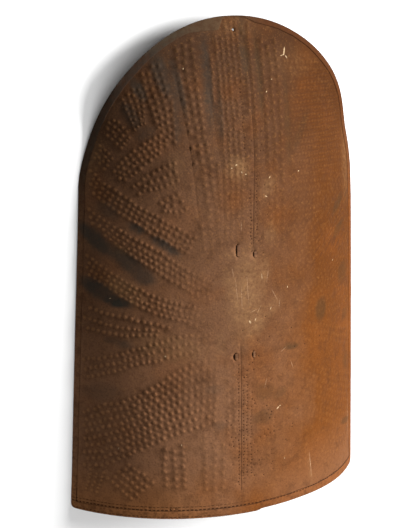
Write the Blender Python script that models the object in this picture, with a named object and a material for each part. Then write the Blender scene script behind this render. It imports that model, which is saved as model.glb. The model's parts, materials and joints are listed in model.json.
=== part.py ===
# Iron shield, lying on its edges with its face up: one hammered sheet bent round its long axis, with a
# folded border, a curled-back arched top and bands of beaten-up ridges, and the forged grip whose four tangs
# are clenched on the face.
# Everything is laid out on the flat sheet first (s across from the middle line, w up from the foot, rise
# above the face), bent to shape by one function, and then laid down. Metres, +Z up, +Y towards the peak.

import bpy
import bmesh
import numpy as np
from mathutils.geometry import delaunay_2d_cdt

# The sheet, measured along the metal
HEIGHT = 1.100
FOOT_HALF_WIDTH = 0.418
SIDE_TAPER = 0.069            # narrowing of each half for each metre of height
CORNER_RADIUS = 0.012
ARCH_HEIGHT = 0.354           # from the shoulders to the peak
ARCH_SIDE_POWER = 2.096
ARCH_TOP_POWER = 1.376
THICKNESS = 0.0012

# How it is bent
BEND_RADIUS = 0.4375
FLATTEN_LENGTH = 0.274        # below the peak, where the bend eases off
PEAK_BEND_SHARE = 0.4
CURL_LENGTH = 0.465           # below the peak, where the top curls back
CURL_DROP = 0.0735

# The border, folded over to the face
FOOT_HEM_WIDTH = 0.017
LEFT_HEM_WIDTH = 0.015
RIGHT_HEM_WIDTH = 0.020
HEM_STEP_WIDTH = 0.0008
HEM_RISE = 0.0014
FLAP_WIDTH = 0.027            # the deep end of the left fold, beside the peak
FLAP_FROM = -0.110
FLAP_TO = -0.036
BARE_PEAK_FROM = -0.020       # no fold between these two, over the peak
BARE_PEAK_TO = 0.028
BARE_EDGE_WIDTH = 0.002

HOLE_RADIUS = 0.0025
HOLE_BELOW_PEAK = 0.029

# The beaten-up rows, as ridges in bands. For each band: how many rows, 1 if the right half has it too, then
# start, end and bow of its one edge line, and of its other. The rows lie side by side between the two. Across
# is a share of the foot's half width, and so is the bow. Up is 0 at the foot, 1 and 2 at the two rows of tangs
# and 3 at the peak.
RIDGE_RISE = 0.0017
RIDGE_STEP = 0.046            # between the points along a ridge
RIDGE_END = 0.007             # over which a ridge runs out
RIDGE_TO_HEM = 0.008          # what stays plain inside the fold
BANDS = (
    (3, 0, (-0.333, 2.900), (-0.242, 2.013), 0.000, (-0.206, 2.900), (-0.112, 2.003), -0.010),
    (4, 0, (-0.505, 2.761), (-0.440, 2.566), -0.010, (-0.392, 2.827), (-0.344, 2.502), 0.024),
    (4, 0, (-0.617, 2.685), (-0.555, 2.530), -0.005, (-0.498, 2.725), (-0.483, 2.562), 0.007),
    (3, 0, (-0.667, 2.602), (-0.562, 2.506), 0.014, (-0.730, 2.534), (-0.624, 2.445), -0.005),
    (3, 0, (-0.768, 2.510), (-0.660, 2.421), 0.000, (-0.785, 2.415), (-0.715, 2.355), -0.002),
    (4, 0, (-0.679, 2.369), (-0.402, 2.518), 0.031, (-0.620, 2.317), (-0.397, 2.443), 0.000),
    (3, 0, (-0.581, 2.307), (-0.344, 2.411), 0.024, (-0.538, 2.267), (-0.333, 2.313), -0.007),
    (3, 0, (-0.443, 2.241), (-0.337, 2.287), 0.002, (-0.416, 2.192), (-0.292, 2.200), -0.024),
    (4, 1, (-0.825, 2.391), (-0.246, 2.088), -0.019, (-0.821, 2.279), (-0.306, 1.990), -0.012),
    (4, 1, (-0.844, 2.214), (-0.187, 1.761), 0.007, (-0.835, 2.154), (-0.191, 1.528), -0.024),
    (4, 1, (-0.842, 2.003), (-0.208, 1.467), -0.024, (-0.842, 1.778), (-0.225, 1.299), -0.033),
    (1, 1, (-0.864, 1.510), (-0.392, 1.329), 0.005, (-0.868, 1.459), (-0.397, 1.277), 0.000),
    (2, 1, (-0.866, 1.424), (-0.455, 1.294), -0.010, (-0.866, 1.238), (-0.459, 1.229), -0.017),
    (3, 1, (-0.878, 1.009), (-0.182, 1.281), 0.012, (-0.892, 0.825), (-0.182, 1.074), 0.019),
    (9, 1, (-0.890, 0.663), (-0.144, 1.005), 0.017, (-0.897, 0.280), (-0.158, 0.593), 0.005),
    (3, 1, (-0.746, 0.267), (-0.557, 0.132), 0.000, (-0.620, 0.356), (-0.490, 0.232), 0.005),
    (3, 1, (-0.873, 0.253), (-0.916, 0.138), 0.002, (-0.768, 0.240), (-0.816, 0.121), 0.000),
    (3, 1, (-0.464, 0.439), (-0.459, 0.189), -0.007, (-0.328, 0.469), (-0.313, 0.189), 0.002),
    (3, 1, (-0.254, 0.542), (-0.254, 0.162), 0.000, (-0.108, 0.442), (-0.108, 0.162), 0.000),
    (2, 1, (-0.117, 0.930), (-0.117, 0.512), 0.000, (-0.050, 0.930), (-0.050, 0.512), 0.000),
    (4, 0, (-0.115, 2.956), (-0.115, 2.066), 0.000, (0.002, 2.984), (0.002, 2.066), 0.000),
    (3, 0, (0.005, 2.974), (0.005, 2.046), 0.000, (0.098, 2.952), (0.093, 2.086), 0.000),
    (3, 0, (0.124, 2.892), (0.124, 1.990), 0.000, (0.251, 2.877), (0.246, 1.990), 0.000),
    (14, 0, (0.306, 2.821), (0.522, 2.813), 0.000, (0.306, 2.381), (0.818, 2.323), 0.000),
)

# The grip
GRIP_CENTRE_HEIGHT = 0.4866
GRIP_SHIFT = -0.0025          # of the strap, across
TANG_ROW_SPACING = 0.2314
TANG_THICKNESS = 0.0018
CLEARANCE = 0.0003
SLOT_END_SLACK = 0.0022
# place across, row, shift up, width, length of the clenched end, and how far its slot gapes to its left
TANGS = (
    (-0.0199, 1, 0.0057, 0.0240, 0.0062, 0.0028),
    (0.0196, 1, -0.0058, 0.0115, 0.0050, 0.0025),
    (-0.0258, -1, -0.0004, 0.0130, 0.0050, 0.0046),
    (0.0166, -1, 0.0003, 0.0135, 0.0045, 0.0025),
)
CLENCH_THICKNESS = 0.0013
FOOT_PAD_HALF_WIDTH = 0.030
FOOT_PAD_LENGTH = 0.041
GRIP_THICKNESS = 0.0045
GRIP_HALF_WIDTH = 0.012
FINGER_GAP = 0.042
NECK_RUN = 0.030              # height over which the strap leaves the sheet
NECK_RADIUS = 0.014
GRIP_EDGE = 0.0010

# Fineness of the facets
FOOT_STEPS = 12
SIDE_STEPS = 9
ARCH_STEPS = 22
CORNER_STEPS = 3
GRID = 0.045
GRIP_GRID = 0.011             # finer behind the grip, where the facets have to follow its pads
STRAP_STEPS = 5

ARCH_START = HEIGHT - ARCH_HEIGHT
EDGE_POWER = 2 / ARCH_SIDE_POWER
TOP_POWER = 2 / ARCH_TOP_POWER


def bend_at(w):
    """Bend across the sheet: full in the lower part, easing off towards the peak."""
    share = np.clip((w - HEIGHT) / FLATTEN_LENGTH + 1, 0, 1)
    eased = share * share * (3 - 2 * share)
    return (1 - (1 - PEAK_BEND_SHARE) * eased) / BEND_RADIUS


def on_face(s, w):
    """The bent face, still upright in +Y: a round bend across, with the top falling back."""
    bend = bend_at(w)
    curl = CURL_DROP * np.clip((w - HEIGHT) / CURL_LENGTH + 1, 0, None) ** 2
    return np.stack([np.sin(s * bend) / bend, w, (np.cos(s * bend) - 1) / bend - curl], axis=-1)


def bent(s, w, rise):
    """A point of the flat layout, carried to the bent sheet and raised square to it."""
    step = 1e-4
    across = on_face(s + step, w) - on_face(s - step, w)
    along = on_face(s, w + step) - on_face(s, w - step)
    normal = np.cross(across, along)
    normal /= np.linalg.norm(normal, axis=-1, keepdims=True)
    return on_face(s, w) + normal * np.asarray(rise)[..., None]


def tilted(points, angle):
    """The points turned about the X axis."""
    y, z = points[..., 1], points[..., 2]
    turned = points.copy()
    turned[..., 1] = y * np.cos(angle) - z * np.sin(angle)
    turned[..., 2] = y * np.sin(angle) + z * np.cos(angle)
    return turned


def half_width(w):
    return FOOT_HALF_WIDTH - SIDE_TAPER * w


def arch_angle(s):
    """The arch's running angle, from 0 at the shoulder to a right angle at the peak, for a distance s."""
    reach = np.clip(abs(s) / half_width(ARCH_START), 0, 1)
    return np.arccos(reach ** (1 / EDGE_POWER))


def arch_point(angle):
    s = half_width(ARCH_START) * np.cos(angle) ** EDGE_POWER
    return np.stack([s, ARCH_START + ARCH_HEIGHT * np.sin(angle) ** TOP_POWER], axis=-1)


def hem_width(s):
    """Width of the fold along the arch, at a signed distance s from the middle line."""
    shoulder = half_width(ARCH_START)
    at = (-shoulder, FLAP_FROM, FLAP_TO, BARE_PEAK_FROM, BARE_PEAK_TO, 2 * BARE_PEAK_TO, shoulder)
    width = (LEFT_HEM_WIDTH, LEFT_HEM_WIDTH, FLAP_WIDTH, BARE_EDGE_WIDTH, BARE_EDGE_WIDTH, RIGHT_HEM_WIDTH,
             RIGHT_HEM_WIDTH)
    return np.interp(s, at, width)


def arch_angles(side):
    """Even steps up the arch, and the places where the fold changes on this side."""
    even = np.linspace(0, np.pi / 2, ARCH_STEPS + 1)[1:]
    turns = (FLAP_FROM, FLAP_TO, BARE_PEAK_FROM) if side < 0 else (BARE_PEAK_TO, 2 * BARE_PEAK_TO)
    marks = np.array([arch_angle(s) for s in turns])
    kept = [a for a in even if np.abs(marks - a).min() > 0.02]
    return np.sort(np.concatenate([kept, marks]))


def half_edge(side, inset):
    """One half of the sheet's edge from the foot's middle to the peak, or the fold's line inside it.
    inset is 0 for the edge, or how far past the fold's own width the line lies."""
    folded = inset is not None
    foot = FOOT_HEM_WIDTH + inset if folded else 0.0
    flank = (LEFT_HEM_WIDTH if side < 0 else RIGHT_HEM_WIDTH) + inset if folded else 0.0
    corner = 0.0 if folded else CORNER_RADIUS
    turn = half_width(foot) - flank - corner
    points = [(s, foot) for s in np.linspace(0, turn, FOOT_STEPS + 1)[:-1]]
    if folded:
        points.append((turn, foot))
    else:
        for angle in np.linspace(0, np.pi / 2, CORNER_STEPS + 1):
            w = corner * (1 - np.cos(angle))
            points.append((half_width(w) - corner * (1 - np.sin(angle)), w))
    start = foot + corner
    for w in np.linspace(start, ARCH_START, SIDE_STEPS + 1)[1:]:
        points.append((half_width(w) - flank, w))
    angles = arch_angles(side)
    edge = arch_point(angles)
    if folded:
        small = 1e-4
        ahead = arch_point(np.minimum(angles + small, np.pi / 2)) - arch_point(angles - small)
        inward = np.stack([-ahead[:, 1], ahead[:, 0]], axis=-1)
        inward /= np.linalg.norm(inward, axis=-1, keepdims=True)
        edge = edge + inward * (hem_width(side * edge[:, 0]) + inset)[:, None]
        edge[-1, 0] = 0.0
    points = np.array(points + [tuple(p) for p in edge])
    points[:, 0] *= side
    return points


def edge_loop(inset=None):
    """The whole closed line, anticlockwise seen from the face."""
    right = half_edge(1, inset)
    left = half_edge(-1, inset)
    return np.concatenate([right, left[1:-1][::-1]])


def tang_centre(tang):
    place, row, shift = tang[:3]
    return place, GRIP_CENTRE_HEIGHT + row * TANG_ROW_SPACING / 2 + shift


def slot_loop(tang):
    """The slot that a tang goes through: with clearance all round, and gaping on the left."""
    s, w = tang_centre(tang)
    width, clench, gape = tang[3:]
    left = s - TANG_THICKNESS / 2 - CLEARANCE - gape
    right = s + TANG_THICKNESS / 2 + CLEARANCE
    half_along = width / 2 + SLOT_END_SLACK
    return np.array([(left, w - half_along), (right, w - half_along), (right, w + half_along),
                     (left, w + half_along)])


def hole_loop():
    angles = np.arange(10) * np.pi / 5
    return np.stack([HOLE_RADIUS * np.cos(angles), HEIGHT - HOLE_BELOW_PEAK + HOLE_RADIUS * np.sin(angles)],
                    axis=-1)


def inside(points, loop):
    """Which points lie within a closed line, by counting the crossings to their right."""
    a, b = loop, np.roll(loop, -1, axis=0)
    w = points[:, None, 1]
    spans = (a[:, 1] > w) != (b[:, 1] > w)
    slope = (b[:, 0] - a[:, 0]) / np.where(a[:, 1] == b[:, 1], 1, b[:, 1] - a[:, 1])
    crossing = a[:, 0] + (w - a[:, 1]) * slope
    return (spans & (points[:, None, 0] < crossing)).sum(axis=1) % 2 == 1


def distance_to(points, loop):
    """Distance from each point to the nearest stretch of a closed line."""
    a, b = loop, np.roll(loop, -1, axis=0)
    along = b - a
    share = ((points[:, None] - a) * along).sum(-1) / np.maximum((along ** 2).sum(-1), 1e-12)
    nearest = a + np.clip(share, 0, 1)[..., None] * along
    return np.linalg.norm(points[:, None] - nearest, axis=-1).min(axis=1)


def row_line(start, end, bow, shares):
    """Points at the given shares of a line that bows sideways like a shallow parabola."""
    start = np.array(start)
    run = np.array(end) - start
    aside = np.array([-run[1], run[0]]) / np.linalg.norm(run)
    return start + run * shares[:, None] + aside * (4 * bow * shares * (1 - shares))[:, None]


def on_layout(place):
    """A band's place in metres on the flat sheet."""
    rows = GRIP_CENTRE_HEIGHT + np.array([-0.5, 0.5]) * TANG_ROW_SPACING
    return place[0] * FOOT_HALF_WIDTH, np.interp(place[1], (0, 1, 2, 3), (0, *rows, HEIGHT))


def band_lines(band):
    """The lines of one band from edge to edge, troughs and crests by turns, with how far each point rises."""
    rows = band[0]
    start, end, last_start, last_end = (on_layout(band[i]) for i in (2, 3, 5, 6))
    bow, last_bow = band[4] * FOOT_HALF_WIDTH, band[7] * FOOT_HALF_WIDTH
    length = np.linalg.norm(np.array(end) - start)
    even = np.linspace(0, 1, max(round(length / RIDGE_STEP), 2) + 1)
    run_out = RIDGE_END / length
    crest = np.concatenate([[0, run_out], even[1:-1], [1 - run_out, 1]])
    lines = []
    for number in range(2 * rows + 1):
        shares = crest if number % 2 else even
        first = row_line(start, end, bow, shares)
        last = row_line(last_start, last_end, last_bow, shares)
        rise = np.zeros(len(shares))
        if number % 2:
            rise[1:-1] = RIDGE_RISE
        lines.append((first + (last - first) * number / (2 * rows), rise))
    return lines


def ridge_points(fold_line):
    """Every band's points inside the fold, their rise, and the pairs that follow one another on a crest."""
    points, rises, pairs, count = [], [], [], 0
    for band in BANDS:
        for mirror in (1, -1)[:1 + band[1]]:
            for number, (line, rise) in enumerate(band_lines(band)):
                line = line * (mirror, 1)
                clear = inside(line, fold_line) & (distance_to(line, fold_line) > RIDGE_TO_HEM)
                place = count + np.cumsum(clear) - 1
                if number % 2:
                    pairs += [(place[i], place[i + 1]) for i in range(len(line) - 1) if clear[i] and clear[i + 1]]
                points.append(line[clear])
                rises.append(rise[clear])
                count += clear.sum()
    return np.concatenate(points), np.concatenate(rises), pairs


def field_points(fold_line, cuts, ridges):
    """Points over the plain field, finer round the grip's pads, and none on the ridges."""
    columns = np.arange(-FOOT_HALF_WIDTH, FOOT_HALF_WIDTH, GRID)
    rows = np.arange(0, HEIGHT, GRID)
    coarse = np.stack(np.meshgrid(columns + GRID / 2, rows), axis=-1).reshape(-1, 2)
    reach = FOOT_PAD_HALF_WIDTH
    fine_columns = np.linspace(-reach, reach, 2 * round(reach / GRIP_GRID) + 1)
    low = GRIP_CENTRE_HEIGHT - TANG_ROW_SPACING / 2 - FOOT_PAD_LENGTH
    high = GRIP_CENTRE_HEIGHT + TANG_ROW_SPACING / 2 + FOOT_PAD_LENGTH
    fine_rows = np.linspace(low, high, round((high - low) / (2 * GRIP_GRID)) + 1)
    fine = np.stack(np.meshgrid(fine_columns, fine_rows), axis=-1).reshape(-1, 2)
    near_grip = (abs(coarse[:, 0]) < reach + GRID / 3) & (abs(coarse[:, 1] - (low + high) / 2) < (high - low) / 2)
    coarse = coarse[~near_grip]
    to_ridge = np.linalg.norm(coarse[:, None] - ridges, axis=-1).min(axis=1)
    to_ridge_fine = np.linalg.norm(fine[:, None] - ridges, axis=-1).min(axis=1)
    points = np.concatenate([coarse[to_ridge > GRID / 2], fine[to_ridge_fine > GRIP_GRID]])
    points = points[inside(points, fold_line)]
    points = points[distance_to(points, fold_line) > GRID / 4]
    for cut in cuts:
        points = points[distance_to(points, cut) > GRIP_GRID / 3]
        points = points[~inside(points, cut)]
    return points


def make_object(name, vertices, faces, material):
    mesh = bpy.data.meshes.new(name)
    mesh.from_pydata([tuple(v) for v in vertices], [], [tuple(f) for f in faces])
    mesh.materials.append(material)
    mesh.update()
    mesh.shade_smooth()
    mesh.set_sharp_from_angle(angle=np.radians(25))
    thing = bpy.data.objects.new(name, mesh)
    bpy.context.collection.objects.link(thing)
    return thing


def iron(name, colour, roughness):
    material = bpy.data.materials.new(name)
    material.use_nodes = True
    shader = material.node_tree.nodes["Principled BSDF"]
    shader.inputs["Base Color"].default_value = (*colour, 1)
    shader.inputs["Metallic"].default_value = 0.6
    shader.inputs["Roughness"].default_value = roughness
    return material


def flat_sheet():
    """The sheet's layout: points, how far each rises above the face, how much of that is beaten up from the
    back, and the triangles between them."""
    edge = edge_loop()
    fold = edge_loop(0.0)
    step = edge_loop(HEM_STEP_WIDTH)
    cuts = [slot_loop(tang) for tang in TANGS] + [hole_loop()]
    loops = [edge, fold, step] + cuts
    bare_edge = (edge[:, 0] > BARE_PEAK_FROM - 1e-6) & (edge[:, 0] < BARE_PEAK_TO + 1e-6) & (edge[:, 1] > ARCH_START)
    raised = [np.where(bare_edge, 0, HEM_RISE)]
    bare_fold = (fold[:, 0] > BARE_PEAK_FROM - 1e-3) & (fold[:, 0] < BARE_PEAK_TO + 1e-3) & (fold[:, 1] > ARCH_START)
    raised.append(np.where(bare_fold, 0, HEM_RISE))
    points, links = [], []
    for loop in loops:
        first = sum(len(p) for p in points)
        points.append(loop)
        links += [(first + i, first + (i + 1) % len(loop)) for i in range(len(loop))]
    first = sum(len(p) for p in points)
    ridges, ridge_rise, pairs = ridge_points(step)
    links += [(first + i, first + j) for i, j in pairs]
    field = field_points(step, cuts, ridges)
    points = np.concatenate(points + [ridges, field])
    rise, beaten = np.zeros(len(points)), np.zeros(len(points))
    rise[:len(edge)] = raised[0]
    rise[len(edge):len(edge) + len(fold)] = raised[1]
    beaten[first:first + len(ridges)] = ridge_rise
    rise += beaten
    solved = delaunay_2d_cdt([tuple(p) for p in points], links, [], 0, 1e-7, True)
    flat = np.array([tuple(p) for p in solved[0]])
    # a point without an origin is one where two crests cross
    rise = np.array([rise[origins[0]] if origins else RIDGE_RISE for origins in solved[3]])
    beaten = np.array([beaten[origins[0]] if origins else RIDGE_RISE for origins in solved[3]])
    triangles = np.array([f for f in solved[2] if len(f) == 3])
    middle = flat[triangles].mean(axis=1)
    keep = inside(middle, edge)
    for cut in cuts:
        keep &= ~inside(middle, cut)
    return flat, rise, beaten, triangles[keep]


def closed_shell(flat, rise, beaten, triangles):
    """Face and back from one set of triangles, with a wall wherever a triangle has no neighbour."""
    a, b, c = (flat[triangles[:, i]] for i in range(3))
    turn = (b[:, 0] - a[:, 0]) * (c[:, 1] - a[:, 1]) - (b[:, 1] - a[:, 1]) * (c[:, 0] - a[:, 0])
    triangles = np.where(turn[:, None] > 0, triangles, triangles[:, ::-1])
    used = np.unique(triangles)
    place = np.full(len(flat), -1)
    place[used] = np.arange(len(used))
    front = bent(flat[used, 0], flat[used, 1], rise[used])
    back = bent(flat[used, 0], flat[used, 1], beaten[used] - THICKNESS)
    triangles = place[triangles]
    count = len(used)
    faces = [tuple(t) for t in triangles] + [tuple(t[::-1] + count) for t in triangles]
    sides = {(t[i], t[(i + 1) % 3]) for t in triangles for i in range(3)}
    faces += [(j, i, i + count, j + count) for i, j in sorted(sides) if (j, i) not in sides]
    return np.concatenate([front, back]), faces


def rounded(points, radius, steps):
    """A line of straight runs with its inner corners turned into arcs."""
    line = [points[0]]
    for before, corner, after in zip(points, points[1:], points[2:]):
        arrive = (corner - before) / np.linalg.norm(corner - before)
        leave = (after - corner) / np.linalg.norm(after - corner)
        turn = np.arccos(np.clip(arrive @ leave, -1, 1))
        reach = radius * np.tan(turn / 2)
        centre = corner - arrive * reach + radius * (leave - arrive * (arrive @ leave)) / np.sin(turn)
        start = corner - arrive * reach - centre
        for share in np.linspace(0, 1, steps + 1):
            angle = turn * share
            line.append(centre + start * np.cos(angle) + arrive * radius * np.sin(angle))
    return np.array(line + [points[-1]])


def grip_strap():
    """The strap in the flat layout: wide pads against the sheet's back, a bowed hand-hold between them."""
    near = -THICKNESS - CLEARANCE - GRIP_THICKNESS / 2
    far = -THICKNESS - FINGER_GAP - GRIP_THICKNESS / 2
    pad = TANG_ROW_SPACING / 2 + FOOT_PAD_LENGTH / 2
    neck = TANG_ROW_SPACING / 2 - FOOT_PAD_LENGTH / 2
    corners = np.array([(-pad, near), (-neck, near), (NECK_RUN - neck, far), (neck - NECK_RUN, far), (neck, near),
                        (pad, near)])
    line = rounded(corners, NECK_RADIUS, STRAP_STEPS)
    ahead = np.gradient(line, axis=0)
    ahead /= np.linalg.norm(ahead, axis=1, keepdims=True)
    out = np.stack([ahead[:, 1], -ahead[:, 0]], axis=-1)
    widen = np.clip((abs(line[:, 0]) - neck + FOOT_PAD_LENGTH / 4) / (FOOT_PAD_LENGTH / 2), 0, 1)
    half = GRIP_HALF_WIDTH + (FOOT_PAD_HALF_WIDTH - GRIP_HALF_WIDTH) * widen * widen * (3 - 2 * widen)
    across = np.array([-1, -2 / 3, -1 / 3, 0, 1 / 3, 2 / 3, 1])
    vertices, faces = [], []
    for place, outward, wide in zip(line, out, half):
        low = place + outward * GRIP_THICKNESS / 2
        high = place - outward * GRIP_THICKNESS / 2
        inner = across * (wide - GRIP_EDGE)
        vertices += [(s, low[0], low[1]) for s in inner]
        vertices.append((wide, *(place + outward * (GRIP_THICKNESS / 2 - GRIP_EDGE))))
        vertices.append((wide, *(place - outward * (GRIP_THICKNESS / 2 - GRIP_EDGE))))
        vertices += [(s, high[0], high[1]) for s in inner[::-1]]
        vertices.append((-wide, *(place - outward * (GRIP_THICKNESS / 2 - GRIP_EDGE))))
        vertices.append((-wide, *(place + outward * (GRIP_THICKNESS / 2 - GRIP_EDGE))))
    ring = 2 * len(across) + 4
    for i in range(len(line) - 1):
        for j in range(ring):
            a, b = i * ring + j, i * ring + (j + 1) % ring
            faces.append((a, b, b + ring, a + ring))
    faces.append(tuple(range(ring))[::-1])
    faces.append(tuple(range(len(vertices) - ring, len(vertices))))
    return np.array(vertices) + (GRIP_SHIFT, GRIP_CENTRE_HEIGHT, 0), faces


def tang_solid(tang):
    """A tang in the flat layout: up out of the pad, through its slot and folded over to the right."""
    s, w = tang_centre(tang)
    low = -THICKNESS - CLEARANCE - GRIP_THICKNESS / 2
    over = CLEARANCE + CLENCH_THICKNESS
    half = TANG_THICKNESS / 2
    reach = tang[4]
    profile = [(-half, low), (half, low), (half, CLEARANCE), (reach, CLEARANCE), (reach, over - GRIP_EDGE / 2),
               (reach - GRIP_EDGE, over), (0, over), (-half, over - GRIP_EDGE / 2)]
    count = len(profile)
    ends = (w - tang[3] / 2, w + tang[3] / 2)
    vertices = np.array([(s + ds, end, rise) for end in ends for ds, rise in profile])
    faces = [(i, i + count, (i + 1) % count + count, (i + 1) % count) for i in range(count)]
    faces += [tuple(range(count)), tuple(range(2 * count - 1, count - 1, -1))]
    return vertices, faces


def facing_out(mesh):
    shape = bmesh.new()
    shape.from_mesh(mesh)
    bmesh.ops.recalc_face_normals(shape, faces=shape.faces)
    shape.to_mesh(mesh)
    shape.free()


def joined_grip(material):
    """Strap and tangs united in the flat layout, as one forging."""
    strap = make_object("strap", *grip_strap(), material)
    facing_out(strap.data)
    tangs = []
    for number, tang in enumerate(TANGS):
        piece = make_object(f"tang_{number}", *tang_solid(tang), material)
        facing_out(piece.data)
        union = strap.modifiers.new(piece.name, "BOOLEAN")
        union.operation = "UNION"
        union.solver = "EXACT"
        union.object = piece
        tangs.append(piece)
    evaluated = strap.evaluated_get(bpy.context.evaluated_depsgraph_get())
    shape = bmesh.new()
    shape.from_mesh(evaluated.to_mesh())
    bmesh.ops.triangulate(shape, faces=shape.faces)
    vertices = np.array([tuple(v.co) for v in shape.verts])
    faces = [tuple(v.index for v in f.verts) for f in shape.faces]
    shape.free()
    for piece in [strap] + tangs:
        bpy.data.objects.remove(piece)
    return bent(vertices[:, 0], vertices[:, 1], vertices[:, 2]), faces


def resting_tilt(points):
    """The turn about X that brings the foot's corners and the shoulders down to one level."""
    upper = points[:, 1] > HEIGHT / 2
    angle = 0.0
    for _ in range(30):
        laid = tilted(points, angle)
        foot = laid[~upper][laid[~upper][:, 2].argmin()]
        shoulder = laid[upper][laid[upper][:, 2].argmin()]
        angle -= np.arctan2(shoulder[2] - foot[2], shoulder[1] - foot[1])
    return angle


def build():
    for old in list(bpy.data.objects):
        bpy.data.objects.remove(old)
    sheet_points, sheet_faces = closed_shell(*flat_sheet())
    grip_points, grip_faces = joined_grip(iron("grip_iron", (0.16, 0.10, 0.07), 0.6))
    angle = resting_tilt(sheet_points)
    sheet_points, grip_points = tilted(sheet_points, angle), tilted(grip_points, angle)
    low, high = sheet_points.min(axis=0), sheet_points.max(axis=0)
    foot = np.array([(low[0] + high[0]) / 2, (low[1] + high[1]) / 2, low[2]])
    make_object("shield_plate", sheet_points - foot, sheet_faces, iron("plate_iron", (0.24, 0.13, 0.07), 0.65))
    make_object("grip", grip_points - foot, grip_faces, bpy.data.materials["grip_iron"])


build()
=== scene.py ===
# The hammered iron shield as it looks: the rusted sheet with its punched rows of bosses, the folded border,
# the chased lines and the clenched grip, lying face up on a pale floor.
import json
import bpy
import numpy as np
from mathutils import Matrix, Vector
from mathutils.geometry import delaunay_2d_cdt

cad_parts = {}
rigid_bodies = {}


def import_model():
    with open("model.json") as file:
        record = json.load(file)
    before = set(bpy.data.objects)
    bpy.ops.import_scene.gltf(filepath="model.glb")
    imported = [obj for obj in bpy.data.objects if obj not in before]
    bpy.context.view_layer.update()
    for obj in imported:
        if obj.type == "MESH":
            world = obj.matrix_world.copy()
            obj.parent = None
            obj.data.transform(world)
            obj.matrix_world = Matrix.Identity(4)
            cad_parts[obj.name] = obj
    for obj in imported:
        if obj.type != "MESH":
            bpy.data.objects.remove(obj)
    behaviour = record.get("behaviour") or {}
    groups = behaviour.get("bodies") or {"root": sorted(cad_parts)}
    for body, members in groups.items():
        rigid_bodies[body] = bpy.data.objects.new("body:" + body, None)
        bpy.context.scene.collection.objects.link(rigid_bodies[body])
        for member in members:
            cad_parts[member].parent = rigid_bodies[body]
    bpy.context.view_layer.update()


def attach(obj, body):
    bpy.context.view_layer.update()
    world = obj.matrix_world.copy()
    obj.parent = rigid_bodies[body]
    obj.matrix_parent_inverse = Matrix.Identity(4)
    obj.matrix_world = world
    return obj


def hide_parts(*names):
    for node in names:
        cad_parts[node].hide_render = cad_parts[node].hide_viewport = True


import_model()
mm = 0.001

# The sheet, as it was cut and bent: s runs across from the middle line, w up the sheet from the foot
sheet = {
    "height": 1.100,
    "footHalfWidth": 0.418,
    "sideTaper": 0.069,
    "cornerRadius": 0.012,
    "archHeight": 0.354,
    "archSidePower": 2.096,
    "archTopPower": 1.376,
    "thickness": 0.0012,
    "bendRadius": 0.4375,
    "flattenLength": 0.274,
    "peakBendShare": 0.4,
    "curlLength": 0.465,
    "curlDrop": 0.0735,
    "edgeStep": 0.006,       # spacing of the points along the edge
    "fieldGrid": 0.0105,     # spacing of the points on plain stretches
    "waveHeight": 0.0009,    # broad unevenness of the hammered sheet
    "dentHeight": 0.00028,   # hammer dents on plain stretches
    "seed": 11,
}
archStart = sheet["height"] - sheet["archHeight"]
edgePower = 2 / sheet["archSidePower"]
topPower = 2 / sheet["archTopPower"]


def softNoise(s, w, size, seed):
    # Even random bumps between -1 and 1: random values on a square lattice, smoothly blended between.
    rng = np.random.default_rng(seed)
    lattice = rng.uniform(-1, 1, (256, 256))
    x, y = s / size + 100, w / size + 100
    i, j = np.floor(x).astype(int), np.floor(y).astype(int)
    fx, fy = x - i, y - j
    fx, fy = fx * fx * (3 - 2 * fx), fy * fy * (3 - 2 * fy)
    near = lattice[j % 256, i % 256] * (1 - fx) + lattice[j % 256, (i + 1) % 256] * fx
    far = lattice[(j + 1) % 256, i % 256] * (1 - fx) + lattice[(j + 1) % 256, (i + 1) % 256] * fx
    return near * (1 - fy) + far * fy


def bendAt(w):
    # Bend across the sheet: full in the lower part, easing off towards the peak.
    share = np.clip((w - sheet["height"]) / sheet["flattenLength"] + 1, 0, 1)
    eased = share * share * (3 - 2 * share)
    return (1 - (1 - sheet["peakBendShare"]) * eased) / sheet["bendRadius"]


def onFace(s, w):
    # The bent face, still upright in +Y: a round bend across, with the top falling back.
    bend = bendAt(w)
    curl = sheet["curlDrop"] * np.clip((w - sheet["height"]) / sheet["curlLength"] + 1, 0, None) ** 2
    return np.stack([np.sin(s * bend) / bend, w, (np.cos(s * bend) - 1) / bend - curl], axis=-1)


def bentOnly(s, w, rise):
    # A point of the flat layout carried to the bent sheet, and raised square to it.
    step = 1e-4
    across = onFace(s + step, w) - onFace(s - step, w)
    along = onFace(s, w + step) - onFace(s, w - step)
    normal = np.cross(across, along)
    normal /= np.linalg.norm(normal, axis=-1, keepdims=True)
    return onFace(s, w) + normal * np.asarray(rise)[..., None]


def turned(points, angle):
    # Points or directions turned about the X axis.
    x, y, z = np.moveaxis(points, -1, 0)
    sine, cosine = np.sin(angle), np.cos(angle)
    return np.stack([x, y * cosine - z * sine, y * sine + z * cosine], axis=-1)


def halfWidth(w):
    return sheet["footHalfWidth"] - sheet["sideTaper"] * w


def archPoint(angle):
    # The arch: powers of the sine and cosine of a running angle, from the shoulder to the peak.
    s = halfWidth(archStart) * np.cos(angle) ** edgePower
    return np.stack([s, archStart + sheet["archHeight"] * np.sin(angle) ** topPower], axis=-1)


# The border, folded over to the face
hem = {
    "footWidth": 0.017,
    "leftWidth": 0.015,
    "rightWidth": 0.020,
    "rightArchWidth": 0.0105,
    "rise": 0.0014,
    "leftRise": 0.0008,      # the left fold is hammered down closer
    "peakDrop": 0.0003,      # and the peak's a little
    "flapWidth": 0.027,
    "flapFrom": -0.110,
    "flapTo": -0.036,
    "barePeakFrom": -0.020,
    "barePeakTo": 0.028,
    "bareWidth": 0.002,
    "trim": 0.0040,          # the foot is cut back a little right of the middle
    "trimFrom": 0.026,
    "trimTo": 0.30,
    "waver": 0.0011,         # how far the cut edge of the fold wanders
}


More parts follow.
